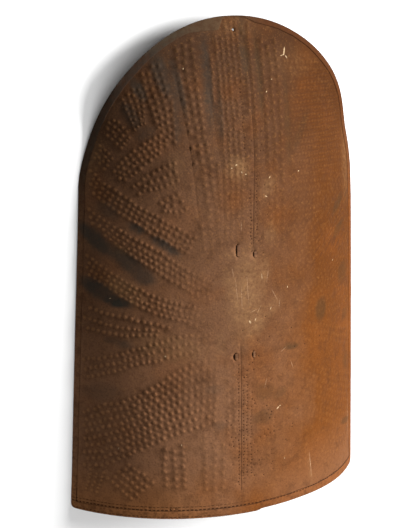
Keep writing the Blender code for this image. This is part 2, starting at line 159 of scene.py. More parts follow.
def hemWidthOnArch(s):
    shoulder = halfWidth(archStart)
    at = (-shoulder, hem["flapFrom"], hem["flapTo"], hem["barePeakFrom"], hem["barePeakTo"],
          2 * hem["barePeakTo"], 0.8 * shoulder, shoulder)
    width = (hem["leftWidth"], hem["leftWidth"], hem["flapWidth"], hem["bareWidth"], hem["bareWidth"],
             hem["rightArchWidth"], hem["rightArchWidth"], hem["rightWidth"])
    return np.interp(s, at, width)


def foldRise(points):
    # How far the fold stands above the face: least on the left flank
    s, w = points[:, 0], points[:, 1]
    left = np.clip((-s - 0.05) / 0.1, 0, 1) * np.clip((w - 0.03) / 0.05, 0, 1)
    peak = np.clip((w - 1.04) / 0.04, 0, 1)
    return hem["rise"] + (hem["leftRise"] - hem["rise"]) * left - hem["peakDrop"] * peak


def halfEdge(side, share, inset):
    # One half of the edge from the foot's middle to the peak, moved in by a share of the fold's width and
    # by a fixed distance as well.
    foot = share * hem["footWidth"] + inset
    flank = share * (hem["leftWidth"] if side < 0 else hem["rightWidth"]) + inset
    corner = max(sheet["cornerRadius"] - inset, 0.0) if share == 0 else 0.0
    step = sheet["edgeStep"]
    turn = halfWidth(foot) - flank - corner
    line = [(s, foot) for s in np.linspace(0, turn, round(turn / step) + 1)[:-1]]
    if corner > 0:
        for angle in np.linspace(0, np.pi / 2, 5):
            w = foot + corner * (1 - np.cos(angle))
            line.append((halfWidth(w) - flank - corner * (1 - np.sin(angle)), w))
    else:
        line.append((turn, foot))
    start = foot + corner
    for w in np.linspace(start, archStart, round((archStart - start) / step) + 1)[1:]:
        line.append((halfWidth(w) - flank, w))
    angles = np.linspace(0, np.pi / 2, round(0.55 / step) + 1)[1:]
    edge = archPoint(angles)
    small = 1e-4
    ahead = archPoint(np.minimum(angles + small, np.pi / 2)) - archPoint(angles - small)
    inward = np.stack([-ahead[:, 1], ahead[:, 0]], axis=-1)
    inward /= np.linalg.norm(inward, axis=-1, keepdims=True)
    edge = edge + inward * (share * hemWidthOnArch(side * edge[:, 0]) + inset)[:, None]
    edge[-1, 0] = 0.0
    line = np.array(line + [tuple(p) for p in edge])
    line[:, 0] *= side
    return line


def edgeLoop(share, inset):
    # The closed line, anticlockwise; the cut edge of the fold wanders a little.
    loop = np.concatenate([halfEdge(1, share, inset), halfEdge(-1, share, inset)[1:-1][::-1]])
    past, before = loop[:, 0] - hem["trimFrom"], hem["trimTo"] - loop[:, 0]
    trim = np.clip(past / 0.012, 0, 1) * np.clip(before / 0.15, 0, 1)
    loop[:, 1] += hem["trim"] * trim * (loop[:, 1] < 0.04)
    if share > 0:
        ahead = np.roll(loop, -1, axis=0) - np.roll(loop, 1, axis=0)
        inward = np.stack([-ahead[:, 1], ahead[:, 0]], axis=-1)
        inward /= np.maximum(np.linalg.norm(inward, axis=-1, keepdims=True), 1e-9)
        calm = np.clip(abs(loop[:, 0]) / 0.06, 0, 1)
        sway = softNoise(loop[:, 0], loop[:, 1], 0.035, 5) + 0.5 * softNoise(loop[:, 0], loop[:, 1], 0.012, 6)
        loop = loop + inward * (share * hem["waver"] * sway * calm)[:, None]
    return loop


def inside(points, loop):
    # Which points lie within a closed line, by counting the crossings to their right.
    a, b = loop, np.roll(loop, -1, axis=0)
    answer = np.zeros(len(points), bool)
    slope = (b[:, 0] - a[:, 0]) / np.where(a[:, 1] == b[:, 1], 1, b[:, 1] - a[:, 1])
    for start in range(0, len(points), 4000):
        s, w = points[start:start + 4000, None, 0], points[start:start + 4000, None, 1]
        spans = (a[:, 1] > w) != (b[:, 1] > w)
        answer[start:start + 4000] = (spans & (s < a[:, 0] + (w - a[:, 1]) * slope)).sum(axis=1) % 2 == 1
    return answer


def distanceTo(points, line, closed=False):
    # Distance from each point to the nearest stretch of a line.
    a = line if closed else line[:-1]
    b = np.roll(line, -1, axis=0) if closed else line[1:]
    run = b - a
    length = np.maximum((run ** 2).sum(-1), 1e-12)
    answer = np.empty(len(points))
    for start in range(0, len(points), 4000):
        some = points[start:start + 4000, None]
        share = np.clip(((some - a) * run).sum(-1) / length, 0, 1)
        answer[start:start + 4000] = np.linalg.norm(some - a - share[..., None] * run, axis=-1).min(axis=1)
    return answer


# The rows of bosses, in millimetres on the flat sheet. A band is drawn by its first and its last row, and the
# rows between them are shared out evenly. Rows run from the edge towards the grip, columns from top to foot.
bosses = {
    "radius": 0.0065,
    "height": 0.0023,
    "rightShare": 0.22,      # the right half's bosses are beaten and rubbed nearly flat
    "pitch": 13.0,
    "jitter": 0.9,           # how far a punch lands from its place, in millimetres
    "leftOnly": 8,           # this many of the left bands have no twin on the right
    "foldGap": 0.0022,       # clear of the fold
    "lineGap": 0.8,          # clear of a chased line, in radii
    "crowding": 1.35,        # two that come closer than this, in radii, become one
    "roomShare": 0.49,       # of the distance to the next boss that a radius may take
    "heightPower": 0.8,      # small ones are a little taller for their size
    "smoothMiddle": 0.49,    # how far up the smooth ground round the grip is, and its half breadth and height
    "smoothBreadth": 0.075,
    "smoothHeight": 0.13,
    "fadeFrom": 0.8,         # the bosses fade in over this range of that ellipse's size, from a least share
    "fadeOver": 2.1,
    "fadeLeast": 0.25,
}
leftBands = [
    {"rows": 3, "pitch": 16.5, "size": 1.1,
     "first": [(-130, 1050), (-128, 975), (-115, 881), (-107, 800), (-105, 750), (-101, 700), (-95, 650),
               (-92, 608)],
     "last": [(-95, 1050), (-95, 1000), (-87, 893), (-75, 800), (-70, 750), (-64, 716), (-60, 650),
              (-56, 605)]},
    {"rows": 4, "pitch": 15,
     "first": [(-205, 985), (-197, 940), (-186, 900), (-177, 868)],
     "last": [(-170, 1010), (-158, 960), (-147, 922), (-146, 880), (-147, 838)]},
    {"rows": 4, "pitch": 11.5, "size": 0.85,
     "first": [(-252, 945), (-240, 900), (-228, 868)], "last": [(-214, 960), (-208, 930), (-206, 880)]},
    {"rows": 4, "pitch": 11.5, "size": 0.85,
     "first": [(-282, 898), (-264, 884), (-248, 870), (-238, 850)],
     "last": [(-302, 872), (-285, 853), (-267, 838), (-258, 828)]},
    {"rows": 4, "pitch": 12, "size": 0.85,
     "first": [(-322, 850), (-299, 828), (-279, 808)], "last": [(-327, 815), (-314, 800), (-296, 783)]},
    {"rows": 4, "pitch": 13,
     "first": [(-281, 783), (-248, 816), (-210, 843), (-176, 858), (-158, 862)],
     "last": [(-262, 763), (-246, 772), (-203, 806), (-188, 817), (-160, 832)]},
    {"rows": 3, "pitch": 13,
     "first": [(-240, 752), (-225, 762), (-203, 778), (-179, 789), (-157, 801), (-143, 799)],
     "last": [(-228, 738), (-210, 745), (-180, 752), (-160, 758), (-140, 766)]},
    {"rows": 3, "pitch": 13,
     "first": [(-183, 718), (-157, 729), (-138, 738)], "last": [(-176, 702), (-147, 696), (-125, 709)]},
    {"rows": 4,
     "first": [(-345, 790), (-309, 760), (-264, 732), (-229, 707), (-193, 690), (-153, 664), (-123, 645),
               (-106, 640)],
     "last": [(-343, 748), (-311, 720), (-284, 703), (-245, 679), (-217, 661), (-183, 638), (-146, 618),
              (-125, 606)]},
    {"rows": 4,
     "first": [(-353, 705), (-303, 675), (-265, 652), (-224, 630), (-183, 608), (-139, 576), (-103, 556),
               (-78, 540)],
     "last": [(-350, 683), (-331, 667), (-293, 633), (-251, 605), (-203, 576), (-160, 547), (-120, 522),
              (-80, 500)]},
    {"rows": 4,
     "first": [(-352, 597), (-303, 567), (-250, 537), (-208, 518), (-173, 503), (-123, 490), (-88, 474)],
     "last": [(-352, 558), (-310, 533), (-258, 503), (-215, 483), (-161, 463), (-113, 449), (-93, 445)]},
    {"rows": 1, "pitch": 14,
     "first": [(-362, 483), (-334, 476), (-304, 470), (-264, 464), (-225, 456), (-190, 450), (-165, 441)],
     "last": [(-362, 483), (-165, 441)]},
    {"rows": 2,
     "first": [(-362, 458), (-332, 452), (-303, 444), (-262, 440), (-222, 438), (-190, 435)],
     "last": [(-362, 437), (-326, 430), (-298, 427), (-259, 425), (-218, 427), (-191, 428)]},
    {"rows": 3, "pitch": 13.5,
     "first": [(-368, 362), (-330, 368), (-308, 374), (-277, 381), (-256, 390), (-222, 402), (-180, 413),
               (-136, 426), (-106, 425), (-76, 428)],
     "last": [(-372, 317), (-335, 328), (-308, 337), (-284, 346), (-255, 358), (-222, 366), (-190, 371),
              (-160, 380), (-125, 388), (-93, 395), (-76, 396)]},
    {"rows": 9, "pitch": 14.5,
     "first": [(-372, 238), (-348, 247), (-319, 262), (-281, 270), (-248, 286), (-224, 297), (-190, 318),
               (-156, 343), (-121, 362), (-100, 366), (-60, 364)],
     "last": [(-375, 112), (-330, 118), (-305, 130), (-271, 150), (-237, 166), (-206, 182), (-174, 196),
              (-146, 206), (-110, 216), (-66, 228)]},
    {"rows": 5, "pitch": 14, "height": 0.75,
     "first": [(-318, 88), (-300, 74), (-282, 58), (-258, 42)],
     "last": [(-268, 126), (-255, 117), (-239, 107), (-227, 95), (-210, 80)]},
    {"rows": 3, "pitch": 10, "size": 0.8,
     "first": [(-358, 103), (-364, 82), (-376, 50)], "last": [(-328, 100), (-336, 78), (-348, 46)]},
    {"rows": 3, "pitch": 16, "size": 1.05, "height": 0.7,
     "first": [(-184, 165), (-186, 110), (-182, 70)], "last": [(-146, 172), (-143, 110), (-141, 70)]},
    {"rows": 3, "pitch": 16, "size": 0.95, "height": 0.45,
     "first": [(-96, 195), (-96, 60)], "last": [(-55, 170), (-55, 60)]},
    {"rows": 2, "pitch": 13, "size": 0.8,
     "first": [(-42, 360), (-42, 190)], "last": [(-28, 360), (-28, 190)]},
]
middleBands = [
    {"rows": 4, "pitch": 11, "size": 0.82,
     "first": [(-42, 1080), (-42, 630)], "last": [(-5, 1090), (-5, 630)]},
    {"rows": 1, "pitch": 12, "size": 0.75,
     "first": [(-56, 1010), (-58, 900), (-55, 620)], "last": [(-56, 1010), (-55, 620)]},
    {"rows": 3, "pitch": 12, "size": 0.82,
     "first": [(8, 1085), (8, 620)], "last": [(34, 1078), (33, 640)]},
    {"rows": 3, "pitch": 17, "size": 0.95,
     "first": [(61, 1045), (61, 600)], "last": [(96, 1040), (95, 600)]},
    {"rows": 19, "pitch": 10, "size": 0.72, "height": 0.42,
     "first": [(128, 1012), (215, 1008)], "last": [(128, 760), (338, 742)]},
    {"rows": 6, "pitch": 11, "size": 0.75, "height": 0.22,
     "first": [(122, 742), (250, 735)], "last": [(118, 662), (215, 668)]},
]
# Each chased line with how deep it is, as a share, and how dark its dirt and painted shade
chasedLines = [
    (0.35, 0.2, [(-137, 985), (-126, 900), (-118, 850), (-113, 800), (-110, 765), (-106, 715), (-103, 680)]),
    (0.35, 0.2, [(-66, 945), (-61, 890), (-57, 838), (-50, 788), (-49, 700), (-49, 640)]),
    (0.45, 0.3, [(21, 1050), (27, 950), (26, 905)]),
    (0.80, 0.9, [(26, 895), (25, 800), (20, 720), (18, 640), (17, 614)]),
    (0.30, 0.2, [(48, 1050), (51, 900), (50, 780)]),
    (0.30, 0.3, [(116, 965), (117, 850), (114, 780)]),
    (0.60, 0.8, [(-13, 395), (-12, 300), (-13, 60)]),
]


def mirrored(band):
    # The same band on the right half, where it is nearly flat
    rows = {row: [(-s, w) for s, w in band[row]] for row in ("first", "last")}
    return {**band, **rows, "height": bosses["rightShare"]}


def alongLine(line, shares):
    # Points at even shares of a line's length.
    line = np.array(line, float)
    reach = np.concatenate([[0], np.cumsum(np.linalg.norm(np.diff(line, axis=0), axis=1))])
    return np.stack([np.interp(shares * reach[-1], reach, line[:, i]) for i in (0, 1)], axis=-1)


def bandBosses(band, rng):
    # Places and sizes of a band's bosses, in metres: along each row at its pitch, every other row shifted
    # by half of it.
    pitch = band.get("pitch", bosses["pitch"])
    shares = np.linspace(0, 1, 60)
    first, last = alongLine(band["first"], shares), alongLine(band["last"], shares)
    found = []
    for row in range(band["rows"]):
        blend = row / max(band["rows"] - 1, 1)
        line = first * (1 - blend) + last * blend
        length = np.linalg.norm(np.diff(line, axis=0), axis=1).sum()
        count = max(int(length / pitch), 1)
        at = (np.arange(count + 1) + 0.5 * (row % 2)) / (count + 0.5 * (row % 2 == 0) + 1e-6)
        points = alongLine(line, at[at <= 1.0])
        found.append(points + rng.normal(0, bosses["jitter"], points.shape))
    found = np.concatenate(found) * mm
    size, height = band.get("size", 1.0), band.get("height", 1.0)
    return np.column_stack([found, np.full(len(found), size), np.full(len(found), height)])


def allBosses():
    rng = np.random.default_rng(sheet["seed"])
    rightBands = [mirrored(band) for band in leftBands[bosses["leftOnly"]:]]
    found = np.concatenate([bandBosses(band, rng) for band in leftBands + middleBands + rightBands])
    fold = edgeLoop(1, bosses["foldGap"])
    found = found[inside(found[:, :2], fold)]
    found = found[distanceTo(found[:, :2], fold, True) > bosses["radius"]]
    for _, _, line in chasedLines:
        away = distanceTo(found[:, :2], np.array(line) * mm)
        found = found[away > bosses["lineGap"] * bosses["radius"]]
    return keepApart(found)


def keepApart(found):
    # Drops any boss that lands on an earlier one, and sizes each to the room it has.
    places = found[:, 0] + 1j * found[:, 1]
    gaps = np.abs(places[:, None] - places[None, :])
    np.fill_diagonal(gaps, 1)
    kept = np.ones(len(found), bool)
    for i in range(len(found)):
        if kept[i]:
            kept[i + 1:] &= gaps[i, i + 1:] > bosses["crowding"] * bosses["radius"] * found[i, 2]
    found, gaps = found[kept], gaps[np.ix_(kept, kept)]
    radius = np.minimum(bosses["radius"] * found[:, 2], gaps.min(axis=1) * bosses["roomShare"])
    # they fade out towards the smooth ground round the grip
    away = np.hypot(found[:, 0] / bosses["smoothBreadth"],
                    (found[:, 1] - bosses["smoothMiddle"]) / bosses["smoothHeight"])
    fade = np.clip((away - bosses["fadeFrom"]) / bosses["fadeOver"], bosses["fadeLeast"], 1)
    height = bosses["height"] * (radius / bosses["radius"]) ** bosses["heightPower"] * found[:, 3] * fade
    return np.column_stack([found[:, :2], radius, height])


# The small relief of both faces, and how closely its points are laid, in metres
skin = {
    "foldRound": 0.0003,     # how far in the fold's outer edge is rounded
    "foldFlat": 0.0008,
    "edgeDrop": 0.0004,      # how far the rounding falls at the edge
    "rawBevel": 0.0003,
    "rawDrop": 0.00015,      # how far the cut edge of the fold is worn down
    "creaseWidth": 0.0020,   # the face just inside the cut edge dips and comes back over this width
    "creaseDepth": 0.0003,
    "foldUneven": 0.00035,
    "lineHalfWidth": 0.0013,
    "lineDepth": 0.0007,
    "lineStep": 0.006,
    "darkLimit": 0.7,         # chased lines with more dirt and painted shade than this are as dark as punch marks
    "edgeCalm": 0.045,       # broad waves die out towards the edge over this length
    "footBand": 0.05,        # what lies lower than this belongs to the foot
    "dotRadius": 0.0022,     # the punch marks, of very mixed size
    "dotSizes": (0.55, 1.15),
    "dotDepth": 0.0006,
    "dotPitch": 0.012,       # along the foot's fold, up to a little right of the middle, with some worn away
    "dotInset": 0.0032,
    "dotUntil": 0.02,
    "dotLost": 0.3,
    "dotStray": 0.0009,      # how far a mark lands from its place
    "dotApart": 2.4,         # closest two marks, in radii
    "bossGap": 0.0003,       # between a mark and a boss
    "cutGap": 0.0015,        # between a boss and an opening
    "foldGap": 0.006,        # between the fold and the loose marks
    "stitchPitch": 0.0078,
    "fieldGap": 0.0028,      # between a point of the plain ground and a boss
    "foldGrid": 0.006,       # spacing of the points on the fold's own face
    "foldInset": 0.004,
    "sideShare": 0.64,       # height half way down a boss
    "moat": 0.34,            # how dark the dirt and painted shade round the foot of a full boss are
    "rearShare": 0.85,       # how deep the hollow behind a boss is
    "rearLeast": 0.0004,     # lower bosses leave no hollow behind
}
# Rows of small punched marks beside the chased lines, in metres: s, and from where to where up the sheet
stitchRows = [(-0.0185, 0.070, 0.350), (-0.0075, 0.074, 0.300), (0.0015, 0.088, 0.335),
              (0.0110, 0.092, 0.250), (0.0120, 0.620, 0.735), (0.0265, 0.640, 0.860), (0.0030, 0.800, 0.950)]
# Loose punch marks: middle, half length and half breadth of the patch, and how many
scattered = [(0.050, 0.190, 0.110, 0.040, 60), (0.030, 0.760, 0.140, 0.030, 60),
             (-0.020, 0.860, 0.180, 0.024, 90), (-0.035, 0.230, 0.120, 0.020, 40),
             (0.110, 0.250, 0.160, 0.070, 28), (0.010, 0.240, 0.160, 0.030, 70)]
slots = {                    # each slit: its middle, its width across, and its length up the sheet
    "upperLeft": (-0.02130, 0.6080, 0.0052, 0.0284),
    "upperRight": (0.01835, 0.5965, 0.0049, 0.0159),
    "lowerLeft": (-0.02810, 0.3705, 0.0070, 0.0174),
    "lowerRight": (0.01535, 0.3712, 0.0049, 0.0179),
}
hole = {"radius": 0.0025, "below": 0.029, "sides": 14}


def slotLoop(middle):
    # Straight on the tang's side, and on the other bowed out to a gape that closes towards both ends
    s, w, across, along = middle
    up = np.array([-1, 0, 1])
    down = np.array([1, 0.8, 0.4, 0, -0.4, -0.8, -1])
    right = np.stack([np.full(3, across / 2), up * along / 2], axis=-1)
    left = np.stack([across / 2 - across * (1 - 0.75 * down ** 2), down * along / 2], axis=-1)
    return np.concatenate([right, left]) + (s, w)


def holeLoop():
    angle = np.linspace(0, 2 * np.pi, hole["sides"], endpoint=False)
    middle = (0, sheet["height"] - hole["below"])
    return np.stack([np.cos(angle), np.sin(angle)], axis=-1) * hole["radius"] + middle


def resampled(line, step):
    line = np.array(line, float)
    length = np.linalg.norm(np.diff(line, axis=0), axis=1).sum()
    return alongLine(line, np.linspace(0, 1, max(int(length / step), 2) + 1))


def sideways(line, distance):
    # The line moved sideways by a distance
    ahead = np.gradient(line, axis=0)
    ahead /= np.linalg.norm(ahead, axis=1, keepdims=True)
    return line + np.stack([-ahead[:, 1], ahead[:, 0]], axis=-1) * distance


def hammering(points, edge):
    # Broad waves that die out at the edge, and shallow hammer dents everywhere
    s, w = points[:, 0], points[:, 1]
    wave = softNoise(s, w, 0.110, 21) + 0.6 * softNoise(s, w, 0.052, 22)
    calm = np.clip(distanceTo(points, edge, True) / skin["edgeCalm"], 0, 1)
    dents = softNoise(s, w, 0.019, 23) + 0.5 * softNoise(s, w, 0.011, 24)
    return sheet["waveHeight"] * wave * calm + sheet["dentHeight"] * dents * np.clip(calm * 4, 0, 1)


def ringPoints(found, share, count):
    # Rings of points round every boss, the rings turned against each other
    turn = np.linspace(0, 2 * np.pi, count, endpoint=False) + share * 2.3
    around = np.stack([np.cos(turn), np.sin(turn)], axis=-1)
    return (found[:, None, :2] + found[:, None, 2:3] * share * around[None]).reshape(-1, 2)


# Each kind of point has a mark of its own, and the material's values are worked out from the marks. From the
# punch marks' up to 0 they say how dark the ground is painted, with dirt and painted shade.
marked = {"bossTop": 2.0, "bossSide": 1.6, "fold": 1.0, "foldEdge": 0.9, "punched": -1.15, "crease": -1.5}
creaseFrom = -1.2


class Skin:
    # One side of the sheet: points of the flat layout with their rise, and the lines that triangles follow
    def __init__(self):
        self.points, self.rises, self.marks, self.links, self.count = [], [], [], [], 0

    def add(self, points, rise, line=None, mark=0.0):
        n = len(points)
        self.points.append(points)
        self.rises.append(np.broadcast_to(np.asarray(rise, float), (n,)))
        self.marks.append(np.broadcast_to(np.asarray(mark, float), (n,)))
        first = self.count
        if line:
            at = np.arange(first, first + n)
            ends = np.roll(at, -1)
            pairs = np.stack([at, ends], axis=1)
            self.links += [tuple(p) for p in (pairs if line == "closed" else pairs[:-1]).tolist()]
        self.count += n
        return np.arange(first, first + n)

    def triangles(self, outline, cuts):
        points = np.concatenate(self.points)
        out = delaunay_2d_cdt([Vector(p) for p in points.tolist()], self.links, [], 0, 1e-9, True)
        if len(out[0]) != len(points):
            print("lines cross:", len(out[0]) - len(points), "points more")
        source = np.array([o[0] if len(o) else -1 for o in out[3]])
        faces = np.array([f for f in out[2]], int)
        flat = np.array([v[:] for v in out[0]])
        middle = flat[faces].mean(axis=1)
        keep = inside(middle, outline)
        for cut in cuts:
            near = np.abs(middle - cut.mean(axis=0)).max(axis=1) < 0.05
            keep[near] &= ~inside(middle[near], cut)
        faces = source[faces[keep]]
        a, b, c = (points[faces[:, i]] for i in range(3))
        area = (b[:, 0] - a[:, 0]) * (c[:, 1] - a[:, 1]) - (b[:, 1] - a[:, 1]) * (c[:, 0] - a[:, 0])
        faces[area < 0] = faces[area < 0][:, ::-1]
        return faces


def foldUnevenness(points):
    return skin["foldUneven"] * (softNoise(points[:, 0], points[:, 1], 0.016, 31) - 1)


def pastOpenings(points, cuts, gap):
    clear = np.ones(len(points), bool)
    for cut in cuts:
        clear &= distanceTo(points, cut, True) > gap
    return clear


def punchMarks(rng, found, strips, cuts):
    # The small punch marks, and the bosses left beside them. A mark in a row takes the place of a boss that
    # it would touch, and a loose one gives way to it.
    foot = edgeLoop(1, skin["rawBevel"] + skin["creaseWidth"] + skin["dotInset"])
    foot = foot[(foot[:, 1] < skin["footBand"]) & (foot[:, 0] < skin["dotUntil"])]
    foot = resampled(foot[np.argsort(foot[:, 0])], skin["dotPitch"])[1:]
    foot = foot[rng.uniform(0, 1, len(foot)) > skin["dotLost"]]
    stitches = [resampled([(s, low), (s, high)], skin["stitchPitch"]) for s, low, high in stitchRows]
    rows = np.concatenate([foot] + stitches)
    loose = [np.array([s, w]) + rng.normal(0, 0.5, (count, 2)) * (breadth, length)
             for s, w, length, breadth, count in scattered]
    dots = np.concatenate([rows + rng.normal(0, skin["dotStray"], rows.shape)] + loose)
    radius = skin["dotRadius"] * rng.uniform(*skin["dotSizes"], len(dots))
    firm = np.arange(len(dots)) < len(rows)
    apart = np.hypot(*(dots[:, None] - found[None, :, :2]).transpose(2, 0, 1))
    apart = apart - radius[:, None] - found[None, :, 2]
    clear = firm | (apart.min(axis=1) > skin["bossGap"])
    found = found[apart[firm].min(axis=0) > skin["bossGap"]]
    apart = np.hypot(*(dots[:, None] - dots[None]).transpose(2, 0, 1))
    clear &= ~np.tril(apart < skin["dotApart"] * skin["dotRadius"], -1).any(axis=1)
    for strip in strips:
        clear &= distanceTo(dots, strip) > skin["dotRadius"] + skin["lineHalfWidth"]
    clear &= pastOpenings(dots, cuts, 2 * skin["dotRadius"]) & inside(dots, edgeLoop(1, skin["foldGap"]))
    return np.column_stack([dots, radius])[clear], found


def scatteredGrid(rng, reach, step, rowStep, stray):
    # A grid of points over the whole sheet, each a little off its place
    s, w = np.meshgrid(np.arange(-reach, reach, step), np.arange(0.0, 1.1, rowStep))
    if rowStep < step:      # every other row is shifted by half
        s = s + (np.arange(s.shape[0]) % 2)[:, None] * step / 2
    return np.stack([s.ravel(), w.ravel()], axis=-1) + rng.uniform(-stray, stray, (s.size, 2))


def plainGround(rng, found, dots, strips, cuts):
    # Points between everything else, on the plain stretches of the face and of the back
    step = sheet["fieldGrid"]
    fold = edgeLoop(1, skin["rawBevel"] + skin["creaseWidth"])
    field = scatteredGrid(rng, 0.42, step, step * 0.866, 0.2 * step)
    field = field[inside(field, fold)]
    field = field[distanceTo(field, fold, True) > step * 0.45]
    for strip in strips:
        field = field[distanceTo(field, strip) > skin["lineHalfWidth"] + step * 0.4]
    field = field[pastOpenings(field, cuts, 2 * skin["cutGap"])]
    for cut in cuts:
        field = field[~inside(field, cut)]
    every = np.concatenate([found[:, :3], dots])
    places, middles = field[:, 0] + 1j * field[:, 1], every[:, 0] + 1j * every[:, 1]
    gap = np.abs(places[:, None] - middles[None]) - every[None, :, 2]
    return field[gap.min(axis=1) > skin["fieldGap"]]


def plateMesh():
    rng = np.random.default_rng(sheet["seed"] + 1)
    edge = edgeLoop(0, 0)
    cuts = [slotLoop(middle) for middle in slots.values()] + [holeLoop()]
    found = allBosses()
    for cut in cuts:
        found = found[distanceTo(found[:, :2], cut, True) > found[:, 2] + skin["cutGap"]]
    strips = [resampled(np.array(line) * mm, skin["lineStep"]) for _, _, line in chasedLines]
    dots, found = punchMarks(rng, found, strips, cuts)
    field = plainGround(rng, found, dots, strips, cuts)
    height = found[:, 3] * rng.uniform(0.75, 1.1, len(found))
    back = -sheet["thickness"]

    # the front and the rear share the outermost line, and each has its own copy of the openings and the lines
    front, rear = Skin(), Skin()
    rims, openings = [], []
    for side, ground in ((front, 0.0), (rear, back)):
        rims.append(side.add(edge, (foldRise(edge) + back) / 2, "closed", marked["fold"]))
        openings.append([side.add(cut, ground, "closed") for cut in cuts])
        for strip, (depth, dirtAndShade, _) in zip(strips, chasedLines):
            mark = marked["punched"] if dirtAndShade > skin["darkLimit"] else -dirtAndShade
            side.add(strip, ground - depth * skin["lineDepth"], "open", mark)
            for turn in (-1, 1):
                side.add(sideways(strip, turn * skin["lineHalfWidth"]), ground, "open")
        side.add(field, ground)

    # the fold: rounded edge, flat, worn cut edge, and the crease inside it
    for share, inset, drop, uneven, mark in ((0, skin["foldRound"], skin["edgeDrop"], 0, "fold"),
                                             (0, skin["foldFlat"], 0.0, 1, "fold"),
                                             (1, -skin["foldFlat"], 0.0, 1, "fold"),
                                             (1, 0.0, skin["rawDrop"], 1, "foldEdge")):
        loop = edgeLoop(share, inset)
        front.add(loop, foldRise(loop) - drop + uneven * foldUnevenness(loop), "closed", marked[mark])
    front.add(edgeLoop(1, skin["rawBevel"]), -skin["creaseDepth"], "closed", marked["crease"])
    front.add(edgeLoop(1, skin["rawBevel"] + skin["creaseWidth"]), 0.0, "closed", 0.0)
    # its own face is too wide for one strip, so it gets points of its own
    outer, inner = edgeLoop(0, skin["foldInset"]), edgeLoop(1, -skin["foldInset"])
    strewn = scatteredGrid(rng, 0.43, skin["foldGrid"], skin["foldGrid"], skin["foldGrid"] / 4)
    strewn = strewn[inside(strewn, outer) & ~inside(strewn, inner)]
    front.add(strewn, foldRise(strewn) + foldUnevenness(strewn), None, marked["fold"])

    # each boss: its top, a ring half way down and a ring at its foot
    front.add(found[:, :2], height, None, marked["bossTop"])
    front.add(ringPoints(found, 0.5, 7), np.repeat(height * skin["sideShare"], 7), None, marked["bossSide"])
    # the ring at each boss's foot is darkened with dirt and painted shade
    dirtAndShade = skin["moat"] * np.clip(height / bosses["height"], 0, 1)
    front.add(ringPoints(found, 1.0, 10), 0.0, None, -np.repeat(dirtAndShade, 10))
    front.add(dots[:, :2], -skin["dotDepth"], None, marked["punched"])
    front.add(ringPoints(dots, 0.55, 4), -0.8 * skin["dotDepth"], None, marked["punched"])
    front.add(ringPoints(dots, 1.0, 6), 0.0)
    rear.add(edgeLoop(0, skin["foldRound"]), back + skin["edgeDrop"], "closed", marked["fold"])
    rear.add(edgeLoop(0, skin["foldFlat"]), back, "closed", marked["fold"])
    deep = height > skin["rearLeast"]
    dimples, hollow = found[deep], height[deep] * skin["rearShare"]
    rear.add(dimples[:, :2], back + hollow, None, -0.9)
    rear.add(ringPoints(dimples, 0.5, 6), back + np.repeat(hollow * skin["sideShare"], 6), None, -0.5)
    rear.add(ringPoints(dimples, 0.92, 8), back, None, 0.0)

    flat = np.concatenate(front.points + rear.points)
    rises = np.concatenate(front.rises + rear.rises) + hammering(flat, edge)
    marks = np.concatenate(front.marks + rear.marks)
    isFront = np.arange(len(flat)) < front.count
    swap = np.arange(len(flat))
    swap[rims[1] + front.count] = rims[0]
    faces = [front.triangles(edge, cuts), swap[rear.triangles(edge, cuts)[:, ::-1] + front.count]]
    for upper, lower in zip(*openings):
        lower = lower + front.count
        ahead, below = np.roll(upper, -1), np.roll(lower, -1)
        faces.append(np.stack([upper, ahead, below], axis=1))
        faces.append(np.stack([upper, below, lower], axis=1))
    faces = np.concatenate(faces)
    # on the straight flanks both sides can hold the same flat sliver between three points of the rim: both go
    _, which, times = np.unique(np.sort(faces, axis=1), axis=0, return_inverse=True, return_counts=True)
    faces = faces[times[which.ravel()] == 1]
    used = np.unique(faces)
    renumber = np.full(len(flat), -1)
    renumber[used] = np.arange(len(used))
    print("plate:", len(found), "bosses,", len(field), "field points,", len(faces), "triangles")
    return flat[used], rises[used], marks[used], isFront[used], renumber[faces]


# How far the sheet leans back once it lies on its long edges, and where it then lies
rest = {
    "tilt": -0.04754249,
    "shift": (0.0, 0.54345, -0.18533),
}


def settled(points):
    return turned(points, rest["tilt"]) - rest["shift"]


def addMesh(name, points, faces, smooth=True):
    mesh = bpy.data.meshes.new(name)
    mesh.from_pydata(points.tolist(), [], faces.tolist())
    mesh.polygons.foreach_set("use_smooth", np.full(len(mesh.polygons), smooth))
    mesh.update()
    piece = bpy.data.objects.new(name, mesh)
    bpy.context.scene.collection.objects.link(piece)
    return piece


flat, rises, marks, isFront, faces = plateMesh()
points = settled(bentOnly(flat[:, 0], flat[:, 1], rises))
plate = addMesh("hammered_sheet", points, faces)


def addValues(piece, name, values):
    layer = piece.data.attributes.new(name, "FLOAT", "POINT")
    layer.data.foreach_set("value", np.asarray(values, np.float32))


addValues(plate, "boss", np.clip(marks - marked["fold"], 0, 1))
addValues(plate, "fold", ((marks >= marked["foldEdge"]) & (marks <= marked["fold"])).astype(float))
# dirt and painted shade in the crease along the fold: most at the foot and round the right of the arch, least
# on the flanks
rightArch = (flat[:, 0] > 0.02) & (flat[:, 1] > archStart - 0.05)
leftArch = (flat[:, 0] < -0.1) & (flat[:, 1] > archStart - 0.1)
creaseDirtAndShade = np.select([flat[:, 1] < skin["footBand"], leftArch, rightArch], [1.0, 0.5, 0.7], 0.15)
creaseDirtAndShade[marks >= creaseFrom] = 0.0
patchy = softNoise(flat[:, 0], flat[:, 1], 0.012, 41) > 0
creaseDirtAndShade = np.where(marks == marked["punched"], np.where(patchy, 0.52, 0.14), creaseDirtAndShade)
addValues(plate, "crease", creaseDirtAndShade)
addValues(plate, "front", isFront.astype(float))
layer = plate.data.uv_layers.new(name="sheet")
corner = np.empty(len(plate.data.loops), np.int32)
plate.data.loops.foreach_get("vertex_index", corner)
layer.data.foreach_set("uv", flat[corner].astype(np.float32).ravel())

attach(plate, "root")
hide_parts("shield_plate")
print("sheet built")


